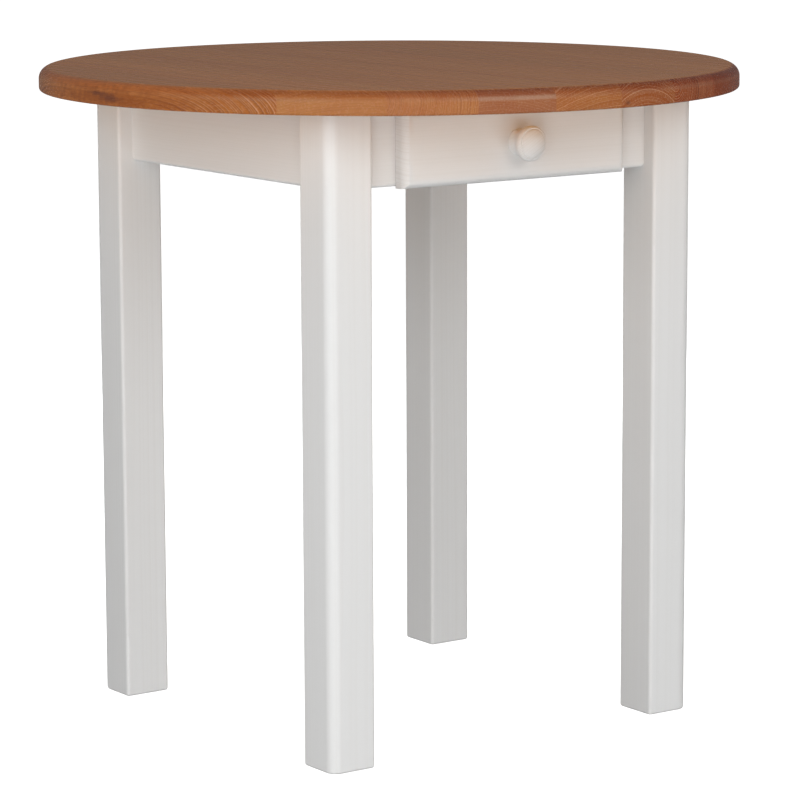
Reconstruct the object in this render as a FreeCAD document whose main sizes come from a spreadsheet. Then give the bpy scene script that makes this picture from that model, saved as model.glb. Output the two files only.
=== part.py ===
import FreeCAD, Part
import math
import os
import re
import Sketcher

# A round tavern table in millimetres, +Z up, standing on z = 0 with its middle on the Z axis.
# An edge-glued top sits on a painted frame of four square legs and four doweled aprons.
# The front apron, towards -Y, has a window for one drawer with an overlay front and a turned knob.

# Driving dimensions, one cell of the sheet each.
SIZES = {
    # Tabletop
    "table_height": 748,
    "top_diameter": 800,
    "top_thickness": 26,
    "top_edge_round": 13,
    "top_lower_round": 3,
    "board_count": 10,
    "last_board_share": 0.5,
    # Legs
    "frame_width": 500,
    "frame_depth": 488,
    "leg_side": 57,
    "leg_outer_round": 13,
    "leg_edge_round": 4,
    "foot_ease": 3.2,
    # Aprons and the dowels that join them to the legs
    "apron_height": 87,
    "apron_thick": 20,
    "apron_edge_round": 4,
    "dowel_diameter": 10,
    "dowel_chamfer": 1,
    "dowel_in_leg": 28,
    "dowel_in_apron": 30,
    "dowel_play": 0.1,
    "dowel_end_room": 1,
    "dowel_spacing_front": 52,
    "dowel_spacing_side": 26,
    # Diagonal blocks in the corners
    "brace_thick": 20,
    "brace_height": 40,
    "brace_leg_gap": 2,
    # Drawer window and the strips that carry the drawer
    "window_top_rail": 10,
    "window_bottom_rail": 15,
    "guide_thick": 12.5,
    "guide_gap": 1.5,
    "guide_brace_room": 3.7,
    # Drawer
    "apron_stub": 42,
    "front_thick": 20,
    "front_round": 11,
    "front_overhang": 2,
    "front_top_gap": 3,
    "front_apron_gap": 0.5,
    "drawer_rear_room": 45,
    "drawer_wall": 12,
    "drawer_run_gap": 0.3,
    "drawer_head_gap": 1.5,
    "panel_thick": 4,
    "panel_raise": 6,
    "panel_play": 0.2,
    "panel_groove": 5,
    # Knob and its screw
    "knob_diameter": 39,
    "knob_length": 33,
    "knob_base_diameter": 29,
    "knob_base_thick": 2,
    "knob_neck_diameter": 25,
    "knob_rim_thick": 10,
    "knob_rim_bulge": 1.5,
    "knob_dome_rise": 6,
    "knob_bead_groove": 1,
    "screw_diameter": 4,
    "screw_play": 0.15,
    "screw_in_knob": 16,
    "screw_head_diameter": 8.5,
    "screw_head_thick": 2.6,
}

# Places worked out from the driving dimensions.
UNDERSIDE = "(table_height - top_thickness)"
APRON_BOTTOM = f"({UNDERSIDE} - apron_height)"
APRON_MIDDLE = f"({UNDERSIDE} - apron_height/2)"
APRON_SET_BACK = "((leg_side - apron_thick)/2)"
INNER_X = f"(frame_width/2 - {APRON_SET_BACK} - apron_thick)"
INNER_Y = f"(frame_depth/2 - {APRON_SET_BACK} - apron_thick)"
SPAN_X = "(frame_width - 2*leg_side)"
SPAN_Y = "(frame_depth - 2*leg_side)"
BRACE_NEAR = "(leg_side - apron_thick + brace_leg_gap)"
BRACE_FAR = f"({BRACE_NEAR} + brace_thick*sqrt(2))"
WINDOW_FLOOR = f"({APRON_BOTTOM} + window_bottom_rail)"
WINDOW_HEAD = f"({UNDERSIDE} - window_top_rail)"
STRIP_OUTER = f"({INNER_X} - {BRACE_FAR} - guide_brace_room)"
WINDOW_HALF = f"({STRIP_OUTER} - guide_thick)"
BOX_HALF = f"({WINDOW_HALF} - guide_gap)"
BOX_FLOOR = f"({WINDOW_FLOOR} + drawer_run_gap)"
BOX_HEIGHT = f"({WINDOW_HEAD} - drawer_head_gap - {BOX_FLOOR})"
BOX_FRONT = f"(-{INNER_Y} - apron_thick - front_apron_gap)"
BOX_LENGTH = f"({INNER_Y} - drawer_rear_room - {BOX_FRONT})"
FRONT_WIDTH = f"({SPAN_X} - 2*apron_stub)"
FRONT_HEIGHT = "(apron_height + front_overhang - front_top_gap)"
FRONT_MIDDLE = f"({UNDERSIDE} - front_top_gap - {FRONT_HEIGHT}/2)"
HOLE_RADIUS = "(dowel_diameter/2 + dowel_play)"
SCREW_HOLE = "(screw_diameter/2 + screw_play)"

SIDES = {"front_left": (-1, -1), "front_right": (1, -1), "rear_right": (1, 1), "rear_left": (-1, 1)}
QUARTERS = {"front": 0, "right": 90, "rear": 180, "left": 270}
HANDS = {"left": -1, "right": 1}
WORD = re.compile(r"[a-z][a-z_]+")

doc = FreeCAD.newDocument("tavern_table")
nodes = []


def make_sheet():
    """Puts every driving dimension in a cell with an alias."""
    made = doc.addObject("Spreadsheet::Sheet", "Sizes")
    for row, (name, number) in enumerate(SIZES.items(), 1):
        made.set(f"A{row}", name)
        made.set(f"B{row}", str(number))
        made.setAlias(f"B{row}", name)
    doc.recompute()
    return made


sheet = make_sheet()


def bound(expression):
    """The expression with each size's name pointing at its cell."""
    return WORD.sub(lambda word: f"Sizes.{word[0]}" if word[0] in SIZES else word[0], expression)


def value(expression):
    """The number that an expression over the sizes gives now."""
    return float(sheet.evalExpression(bound(expression)))


def tie(thing, **sizes):
    """Binds properties of an object to expressions over the sizes."""
    for name, expression in sizes.items():
        thing.setExpression(name, bound(expression))


def place(thing, x="0", y="0", z="0", turn=0, about=(0, 0, 1)):
    """Turns an object and binds its position to the sizes."""
    thing.Placement.Rotation = FreeCAD.Rotation(FreeCAD.Vector(*about), turn)
    for axis, expression in zip("xyz", (x, y, z)):
        thing.setExpression(f".Placement.Base.{axis}", bound(expression))


def keep(thing, name):
    """Lists an object as a sub-part under its node's name."""
    thing.Label = name
    nodes.append(thing)
    return thing


def new_body(name):
    """A body for one sub-part."""
    return keep(doc.addObject("PartDesign::Body", name), name)


def new_sketch(body, name, plane, depth="0"):
    """A sketch on one of the body's own planes, moved along that plane's normal."""
    sketch = body.newObject("Sketcher::SketchObject", f"{body.Name}_{name}")
    role = next(item for item in body.Origin.OriginFeatures if item.Role == plane)
    sketch.AttachmentSupport = (role, [""])
    sketch.MapMode = "FlatFace"
    sketch.setExpression(".AttachmentOffset.Base.z", bound(depth))
    return sketch


def fix_point(sketch, item, end, point):
    """Binds one end or centre of a sketch's item to a pair of expressions."""
    for kind, expression in zip(("DistanceX", "DistanceY"), point):
        number = sketch.addConstraint(Sketcher.Constraint(kind, -1, 1, item, end, value(expression)))
        sketch.setExpression(f"Constraints[{number}]", bound(expression))


def arc_between(start, end, radius):
    """An arc of less than half a turn; a positive radius has its middle left of the way, a negative right."""
    way = end - start
    middle = start + way * 0.5
    left = FreeCAD.Vector(-way.y, way.x, 0).normalize()
    rise = math.sqrt(radius**2 - (way.Length / 2) ** 2)
    centre = middle + left * math.copysign(rise, radius)
    first, last = (start, end) if radius > 0 else (end, start)
    angles = [math.atan2(p.y - centre.y, p.x - centre.x) for p in (first, last)]
    circle = Part.Circle(centre, FreeCAD.Vector(0, 0, 1), abs(radius))
    return Part.ArcOfCircle(circle, *angles)


def outline(sketch, points, arcs=None):
    """A closed outline through points; arcs gives a radius for the stretch that leaves a point."""
    arcs = arcs or {}
    corners = [FreeCAD.Vector(value(x), value(y), 0) for x, y in points]
    ends = []
    for index, start in enumerate(corners):
        finish = corners[(index + 1) % len(corners)]
        if index not in arcs:
            item = sketch.addGeometry(Part.LineSegment(start, finish))
            ends.append((item, 1, 2))
            continue
        radius = value(arcs[index])
        item = sketch.addGeometry(arc_between(start, finish, radius))
        ends.append((item, 1, 2) if radius > 0 else (item, 2, 1))
    for index, (item, first, last) in enumerate(ends):
        after, after_first, _ = ends[(index + 1) % len(ends)]
        sketch.addConstraint(Sketcher.Constraint("Coincident", item, last, after, after_first))
        fix_point(sketch, item, first, points[index])
    for index, expression in arcs.items():
        item = ends[index][0]
        number = sketch.addConstraint(Sketcher.Constraint("Radius", item, abs(value(expression))))
        sketch.setExpression(f"Constraints[{number}]", bound(f"abs({expression})"))


def rectangle(sketch, left, lower, right, upper):
    """A closed rectangle between four expressions."""
    outline(sketch, [(left, lower), (right, lower), (right, upper), (left, upper)])


def circles(sketch, radius, centres):
    """Full circles of one radius."""
    for centre in centres:
        at = FreeCAD.Vector(value(centre[0]), value(centre[1]), 0)
        circle = Part.Circle(at, FreeCAD.Vector(0, 0, 1), value(radius))
        item = sketch.addGeometry(circle)
        number = sketch.addConstraint(Sketcher.Constraint("Radius", item, value(radius)))
        sketch.setExpression(f"Constraints[{number}]", bound(radius))
        fix_point(sketch, item, 3, centre)


def pad(body, sketch, length):
    """Pushes a sketch out along its plane's normal."""
    feature = body.newObject("PartDesign::Pad", f"{sketch.Name}_pad")
    feature.Profile = sketch
    tie(feature, Length=length)
    doc.recompute()
    return feature


def pocket(body, sketch, depth=None, reverse=False):
    """Cuts a sketch into the body against its plane's normal, or along it when reversed."""
    before = body.Shape.Volume
    feature = body.newObject("PartDesign::Pocket", f"{sketch.Name}_pocket")
    feature.Profile = sketch
    feature.Reversed = reverse
    if depth is None:
        feature.Type = "ThroughAll"
    else:
        tie(feature, Length=depth)
    doc.recompute()
    if body.Shape.Volume >= before:
        raise ValueError(f"{sketch.Name} cuts nothing")
    return feature


def revolve(body, sketch):
    """Turns a sketch once round its own upright axis."""
    feature = body.newObject("PartDesign::Revolution", f"{sketch.Name}_turning")
    feature.Profile = sketch
    feature.ReferenceAxis = (sketch, ["V_Axis"])
    feature.Angle = 360
    doc.recompute()
    return feature


def round_edges(body, name, radius, chosen):
    """Rounds the edges of the body so far whose middle point passes a test."""
    base = body.Tip
    feature = body.newObject("PartDesign::Fillet", f"{body.Name}_{name}")
    edges = enumerate(base.Shape.Edges, 1)
    feature.Base = (base, [f"Edge{number}" for number, edge in edges if chosen(edge)])
    tie(feature, Radius=radius)
    doc.recompute()
    return feature


def lies_at(number, target):
    """Whether a coordinate is at a place, within the modelling tolerance."""
    return abs(number - target) < 1e-4


def box(name, size, corner):
    """A plain strip or board, from its size and its lowest corner."""
    made = doc.addObject("Part::Box", name)
    tie(made, Length=size[0], Width=size[1], Height=size[2])
    place(made, *corner)
    return made


def cut(name, base, tool):
    """One solid less another."""
    made = doc.addObject("Part::Cut", name)
    made.Base = base
    made.Tool = tool
    return made


def make_top():
    """The round top, sawn into its glued boards, whose grain runs front to back."""
    blank = doc.addObject("PartDesign::Body", "top_blank")
    sketch = new_sketch(blank, "section", "XZ_Plane")
    rectangle(sketch, "0", "0", "top_diameter/2", "top_thickness")
    revolve(blank, sketch)
    thick = value("top_thickness")
    wall = "min(top_edge_round; 0.6*top_thickness)"
    round_edges(blank, "upper_round", wall, lambda edge: lies_at(edge.BoundBox.ZMin, thick))
    lower = "min(top_lower_round; 0.3*top_thickness)"
    round_edges(blank, "lower_round", lower, lambda edge: lies_at(edge.BoundBox.ZMax, 0))
    board = "top_diameter/(board_count - 1 + last_board_share)"
    for index in range(int(value("board_count"))):
        size = (board, "top_diameter", "top_thickness")
        slab = box(f"slab_{index + 1}", size, (f"{index}*{board} - top_diameter/2", "-top_diameter/2", "0"))
        piece = doc.addObject("Part::Common", f"top_board_{index + 1}")
        piece.Base = blank
        piece.Tool = slab
        keep(piece, f"top_board_{index + 1}")
        place(piece, z=UNDERSIDE)


def make_leg(corner, side_x, side_y):
    """A square leg with a large round on its outer corner and dowel holes for its two aprons."""
    body = new_body(f"leg_{corner}")
    section = new_sketch(body, "section", "XY_Plane")
    rectangle(section, "-leg_side/2", "-leg_side/2", "leg_side/2", "leg_side/2")
    pad(body, section, UNDERSIDE)

    def upright(edge):
        return edge.BoundBox.ZLength > edge.BoundBox.XLength + edge.BoundBox.YLength

    def outermost(edge):
        return upright(edge) and edge.CenterOfMass.x * side_x > 0 and edge.CenterOfMass.y * side_y > 0

    square_corner = value("leg_side")

    def other(edge):
        middle = edge.CenterOfMass
        return upright(edge) and lies_at(abs(middle.x) + abs(middle.y), square_corner) and not outermost(edge)

    round_edges(body, "outer_round", "leg_outer_round", outermost)
    round_edges(body, "edge_rounds", "leg_edge_round", other)
    ease = "min(foot_ease; 0.8*min(leg_edge_round; leg_outer_round))"
    round_edges(body, "foot_ease", ease, lambda edge: lies_at(edge.BoundBox.ZMax, 0))
    depth = "dowel_in_leg + dowel_end_room"
    for plane, spacing, normal in (
        ("YZ_Plane", "dowel_spacing_front", -side_x),
        ("XZ_Plane", "dowel_spacing_side", side_y),
    ):
        holes = new_sketch(body, f"holes_{plane[:2]}", plane, f"{normal}*leg_side/2")
        rows = [("0", f"{APRON_MIDDLE} + {sign}*{spacing}/2") for sign in (-1, 1)]
        circles(holes, HOLE_RADIUS, rows)
        pocket(body, holes, depth, reverse=normal < 0)
    place(body, f"{side_x}*(frame_width - leg_side)/2", f"{side_y}*(frame_depth - leg_side)/2")


def make_apron(side, span, across, spacing):
    """A board between two legs, rounded along its lower edges, with dowel holes in both ends."""
    body = new_body(f"{side}_apron")
    section = new_sketch(body, "section", "YZ_Plane", f"-{span}/2")
    rectangle(section, "-apron_thick/2", "0", "apron_thick/2", "apron_height")
    pad(body, section, span)

    def lower(edge):
        return lies_at(edge.BoundBox.ZMax, 0) and edge.BoundBox.XLength > edge.BoundBox.YLength

    ease = "min(apron_edge_round; 0.4*min(apron_thick; window_bottom_rail))"
    round_edges(body, "lower_round", ease, lower)
    if side == "front":
        window = new_sketch(body, "window", "XZ_Plane", "apron_thick/2")
        sill = "window_bottom_rail"
        rectangle(window, f"-{WINDOW_HALF}", sill, WINDOW_HALF, "apron_height - window_top_rail")
        pocket(body, window)
    holes = new_sketch(body, "holes", "YZ_Plane", f"-{span}/2")
    circles(holes, HOLE_RADIUS, [("0", f"apron_height/2 + {sign}*{spacing}/2") for sign in (-1, 1)])
    bores = pocket(body, holes, "dowel_in_apron + dowel_end_room", reverse=True)
    both = body.newObject("PartDesign::Mirrored", f"{side}_apron_bores")
    both.Originals = [bores]
    middle = next(item for item in body.Origin.OriginFeatures if item.Role == "YZ_Plane")
    both.MirrorPlane = (middle, [""])
    body.Tip = both
    turn = QUARTERS[side]
    out = f"({across}/2 - leg_side/2)"
    facing = FreeCAD.Rotation(FreeCAD.Vector(0, 0, 1), turn).multVec(FreeCAD.Vector(0, -1, 0))
    place(body, f"{round(facing.x)}*{out}", f"{round(facing.y)}*{out}", APRON_BOTTOM, turn)


def make_dowel(name, at, about, turn):
    """A beech dowel with eased ends, across the joint between a leg and an apron."""
    body = new_body(name)
    sketch = new_sketch(body, "section", "XZ_Plane")
    radius = "dowel_diameter/2"
    length = "(dowel_in_leg + dowel_in_apron)"
    ease = "min(dowel_chamfer; 0.4*dowel_diameter)"
    points = [
        ("0", "0"),
        (f"{radius} - {ease}", "0"),
        (radius, ease),
        (radius, f"{length} - {ease}"),
        (f"{radius} - {ease}", length),
        ("0", length),
    ]
    outline(sketch, points)
    revolve(body, sketch)
    place(body, *at, turn=turn, about=about)


def make_dowels(corner, side_x, side_y):
    """The four dowels of one leg, two for each apron, at heights that never meet."""
    for level, sign in (("lower", -1), ("upper", 1)):
        height = f"{APRON_MIDDLE} + {sign}*dowel_spacing_front/2"
        start = f"{side_x}*(frame_width/2 - leg_side + dowel_in_leg)"
        row = f"{side_y}*(frame_depth - leg_side)/2"
        make_dowel(f"dowel_{corner}_x_{level}", (start, row, height), (0, 1, 0), -90 * side_x)
        height = f"{APRON_MIDDLE} + {sign}*dowel_spacing_side/2"
        start = f"{side_y}*(frame_depth/2 - leg_side + dowel_in_leg)"
        row = f"{side_x}*(frame_width - leg_side)/2"
        make_dowel(f"dowel_{corner}_y_{level}", (row, start, height), (1, 0, 0), 90 * side_y)


def make_brace(corner, side_x, side_y, turn):
    """A diagonal block whose mitred ends bear on two aprons, close behind the leg."""
    body = new_body(f"corner_brace_{corner}")
    sketch = new_sketch(body, "section", "XY_Plane")
    outline(sketch, [("0", BRACE_NEAR), (BRACE_NEAR, "0"), (BRACE_FAR, "0"), ("0", BRACE_FAR)])
    pad(body, sketch, "brace_height")
    place(body, f"{side_x}*{INNER_X}", f"{side_y}*{INNER_Y}", f"{UNDERSIDE} - brace_height", turn)


def make_strips(hand, side):
    """The strips that carry, guide and hold down one side of the drawer, between the two aprons."""
    length = f"2*{INNER_Y}"
    wide = f"({STRIP_OUTER} - {BOX_HALF} + drawer_wall)"
    inner = f"({STRIP_OUTER} - {wide})"
    lowest = {-1: f"-{STRIP_OUTER}", 1: inner}[side]
    guide_lowest = {-1: f"-{STRIP_OUTER}", 1: WINDOW_HALF}[side]
    back = f"-{INNER_Y}"
    runner = box(f"runner_{hand}", (wide, length, "window_bottom_rail"), (lowest, back, APRON_BOTTOM))
    keep(runner, f"runner_{hand}")
    tall = f"{WINDOW_HEAD} - {WINDOW_FLOOR}"
    guide = box(f"guide_{hand}", ("guide_thick", length, tall), (guide_lowest, back, WINDOW_FLOOR))
    keep(guide, f"guide_{hand}")
    kicker = box(f"kicker_{hand}", (wide, length, "window_top_rail"), (lowest, back, WINDOW_HEAD))
    keep(kicker, f"kicker_{hand}")


def make_drawer_front():
    """The overlay front, rounded all round its face, with a hole for the knob's screw."""
    body = new_body("drawer_front")
    face = new_sketch(body, "face", "XZ_Plane")
    rectangle(face, f"-{FRONT_WIDTH}/2", f"-{FRONT_HEIGHT}/2", f"{FRONT_WIDTH}/2", f"{FRONT_HEIGHT}/2")
    pad(body, face, "front_thick")
    outer = -value("front_thick")
    wall = "min(front_round; 0.8*front_thick)"
    round_edges(body, "face_round", wall, lambda edge: lies_at(edge.BoundBox.YMax, outer))
    hole = new_sketch(body, "screw_hole", "XZ_Plane")
    circles(hole, SCREW_HOLE, [("0", "0")])
    pocket(body, hole, reverse=True)
    place(body, "0", BOX_FRONT, FRONT_MIDDLE)


def make_drawer_box():
    """The box behind the front: two sides, an inner front and a back round a loose bottom panel."""
    inside = f"({BOX_HALF} - drawer_wall)"
    slot = "panel_thick + 2*panel_play"
    slot_floor = f"{BOX_FLOOR} + panel_raise - panel_play"
    for hand, side in HANDS.items():
        corner = {-1: f"-{BOX_HALF}", 1: inside}[side]
        board = box(f"side_board_{hand}", ("drawer_wall", BOX_LENGTH, BOX_HEIGHT), (corner, BOX_FRONT, BOX_FLOOR))
        edge = {-1: f"-{inside} - panel_groove", 1: inside}[side]
        groove = box(f"side_groove_{hand}", ("panel_groove", BOX_LENGTH, slot), (edge, BOX_FRONT, slot_floor))
        keep(cut(f"drawer_side_{hand}", board, groove), f"drawer_side_{hand}")

    wide = f"2*{inside}"
    board = box("inner_front_board", (wide, "drawer_wall", BOX_HEIGHT), (f"-{inside}", BOX_FRONT, BOX_FLOOR))
    slot_start = f"{BOX_FRONT} + drawer_wall - panel_groove"
    groove = box("inner_front_groove", (wide, "panel_groove", slot), (f"-{inside}", slot_start, slot_floor))
    bore = doc.addObject("Part::Cylinder", "inner_front_bore")
    tie(bore, Radius=SCREW_HOLE, Height="drawer_wall")
    place(bore, "0", f"{BOX_FRONT} + drawer_wall", FRONT_MIDDLE, 90, (1, 0, 0))
    grooved = cut("inner_front_grooved", board, groove)
    keep(cut("drawer_inner_front", grooved, bore), "drawer_inner_front")

    above = "(panel_raise + panel_thick)"
    rear = f"{BOX_FRONT} + {BOX_LENGTH} - drawer_wall"
    size = (wide, "drawer_wall", f"{BOX_HEIGHT} - {above}")
    keep(box("drawer_back", size, (f"-{inside}", rear, f"{BOX_FLOOR} + {above}")), "drawer_back")
    reach = f"({inside} + panel_groove - panel_play)"
    panel_start = f"({slot_start} + panel_play)"
    size = (f"2*{reach}", f"{BOX_FRONT} + {BOX_LENGTH} - {panel_start}", "panel_thick")
    panel = box("drawer_bottom", size, (f"-{reach}", panel_start, f"{BOX_FLOOR} + panel_raise"))
    keep(panel, "drawer_bottom")


def make_knob():
    """A turned mushroom knob: flared base, waist, round rim and a domed face inside a fine groove."""
    body = new_body("knob")
    sketch = new_sketch(body, "section", "XZ_Plane")
    base = "knob_base_diameter/2"
    neck = "knob_neck_diameter/2"
    rim = "(knob_diameter/2 - knob_rim_bulge)"
    rim_end = "(knob_length - knob_dome_rise + knob_bead_groove/2)"
    rim_start = f"({rim_end} - knob_rim_thick)"
    waist = f"((knob_base_thick + {rim_start})/2)"
    dome_edge = f"({rim} - knob_bead_groove)"
    dome_start = "(knob_length - knob_dome_rise)"
    bore_end = "(screw_in_knob + dowel_end_room)"
    points = [
        (SCREW_HOLE, "0"),
        (base, "0"),
        (base, "knob_base_thick"),
        (neck, waist),
        (rim, rim_start),
        (rim, rim_end),
        (dome_edge, dome_start),
        ("0", "knob_length"),
        ("0", bore_end),
        (SCREW_HOLE, bore_end),
    ]
    rise = f"({waist} - knob_base_thick)"

    def through(depth, half_length):
        """Radius of an arc from its depth and half its length."""
        return f"(({depth})^2 + ({half_length})^2)/(2*({depth}))"

    arcs = {
        2: "-" + through(f"{base} - {neck}", rise),
        3: "-" + through(f"{rim} - {neck}", rise),
        4: through("knob_rim_bulge", "knob_rim_thick/2"),
        6: through("knob_dome_rise", dome_edge),
    }
    outline(sketch, points, arcs)
    revolve(body, sketch)
    place(body, "0", f"{BOX_FRONT} - front_thick", FRONT_MIDDLE, 90, (1, 0, 0))


def make_knob_screw():
    """The screw that holds the knob and the overlay front from inside the drawer."""
    body = new_body("knob_screw")
    sketch = new_sketch(body, "section", "XZ_Plane")
    shank = "screw_diameter/2"
    head = "screw_head_diameter/2"
    reach = "drawer_wall + front_thick + screw_in_knob"
    points = [
        ("0", "-screw_head_thick"),
        (head, "-screw_head_thick"),
        (head, "0"),
        (shank, "0"),
        (shank, reach),
        ("0", reach),
    ]
    outline(sketch, points)
    revolve(body, sketch)
    place(body, "0", f"{BOX_FRONT} + drawer_wall", FRONT_MIDDLE, 90, (1, 0, 0))


def check_model():
    """Stops if any object failed or any sub-part isn't one valid solid."""
    for thing in doc.Objects:
        if {"Invalid", "Error"} & set(thing.State):
            raise RuntimeError(f"{thing.Name} failed: {thing.State}")
    for thing in nodes:
        shape = thing.Shape
        if shape.isNull() or not shape.isValid() or len(shape.Solids) != 1:
            raise RuntimeError(f"{thing.Label} isn't one valid solid")


def main():
    """Builds every sub-part, checks them and writes one file each."""
    make_top()
    for turn, (corner, (side_x, side_y)) in zip(QUARTERS.values(), SIDES.items()):
        make_leg(corner, side_x, side_y)
        make_dowels(corner, side_x, side_y)
        make_brace(corner, side_x, side_y, turn)
    for side in QUARTERS:
        if side in HANDS:
            make_apron(side, SPAN_Y, "frame_width", "dowel_spacing_side")
        else:
            make_apron(side, SPAN_X, "frame_depth", "dowel_spacing_front")
    for hand, side in HANDS.items():
        make_strips(hand, side)
    make_drawer_front()
    make_drawer_box()
    make_knob()
    make_knob_screw()
    doc.recompute()
    check_model()
    os.makedirs("parts", exist_ok=True)
    for thing in nodes:
        thing.Shape.exportStep(f"parts/{thing.Label}.step")
    print(len(nodes), "sub-parts")


main()
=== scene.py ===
"""The tavern table's visible model: a stained round top on a white frame with one drawer."""

import logging
import math
from collections.abc import Iterable
from dataclasses import dataclass
from enum import Enum

import bmesh
import bpy
from bmesh.types import BMEdge, BMesh, BMVert
from bpy.types import Light, Material, Node, NodeSocket, World
from mathutils import Euler, Matrix, Quaternion, Vector


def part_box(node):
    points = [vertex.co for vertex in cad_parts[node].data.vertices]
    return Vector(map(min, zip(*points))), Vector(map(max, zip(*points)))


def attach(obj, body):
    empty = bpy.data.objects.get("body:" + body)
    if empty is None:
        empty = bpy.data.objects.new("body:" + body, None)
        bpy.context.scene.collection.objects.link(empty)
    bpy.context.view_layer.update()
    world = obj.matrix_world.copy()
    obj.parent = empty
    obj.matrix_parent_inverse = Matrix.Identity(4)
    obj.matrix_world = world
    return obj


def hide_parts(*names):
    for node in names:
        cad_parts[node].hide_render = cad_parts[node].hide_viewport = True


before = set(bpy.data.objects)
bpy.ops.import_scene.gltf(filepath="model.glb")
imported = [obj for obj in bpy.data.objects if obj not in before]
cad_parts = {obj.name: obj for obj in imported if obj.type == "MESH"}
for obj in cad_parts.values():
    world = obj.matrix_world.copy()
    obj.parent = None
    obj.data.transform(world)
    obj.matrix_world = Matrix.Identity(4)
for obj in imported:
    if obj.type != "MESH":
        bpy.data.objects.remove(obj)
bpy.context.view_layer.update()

MM = 0.001
QUARTER_TURN = math.pi / 2
SHARP_ANGLE = math.radians(32)
# The cosine past which an edge or a face counts as lying along an axis.
STRAIGHT = 0.9
WHITE = (1.0, 1.0, 1.0, 1.0)
Pair = tuple[float, float]
Triple = tuple[float, float, float]
Colour = tuple[float, float, float]
Stops = tuple[Pair, ...]
Value = NodeSocket | float | tuple[float, ...]
log = logging.getLogger("tavern_table")


class Body(Enum):
    """The bodies that pieces ride on."""

    FRAME = "frame"
    DRAWER = "drawer"


class Slot(Enum):
    """The record's material slots, passed with each new piece but not given to it."""

    STAINED = "stained_pine"
    LACQUER = "white_lacquer"
    BARE = "bare_pine"
    STEEL = "zinc_steel"


class Grain(Enum):
    """The way that a piece's fibres run."""

    ALONG_X = "x"
    ALONG_Y = "y"
    ALONG_Z = "z"

    @property
    def axis(self) -> Vector:
        """The fibres' direction."""
        return Vector([float(letter == self.value) for letter in "xyz"])

    @property
    def turn(self) -> Euler:
        """The turn that lays the fibres along Y."""
        turns = {"x": (0, 0, QUARTER_TURN), "y": (0, 0, 0), "z": (-QUARTER_TURN, 0, 0)}
        return Euler(turns[self.value])


class Corner(Enum):
    """The table's corners, as signs along X and Y."""

    FRONT_LEFT = (-1, -1)
    FRONT_RIGHT = (1, -1)
    REAR_RIGHT = (1, 1)
    REAR_LEFT = (-1, 1)

    @property
    def label(self) -> str:
        """The corner's name in node names."""
        return self.name.lower()


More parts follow.
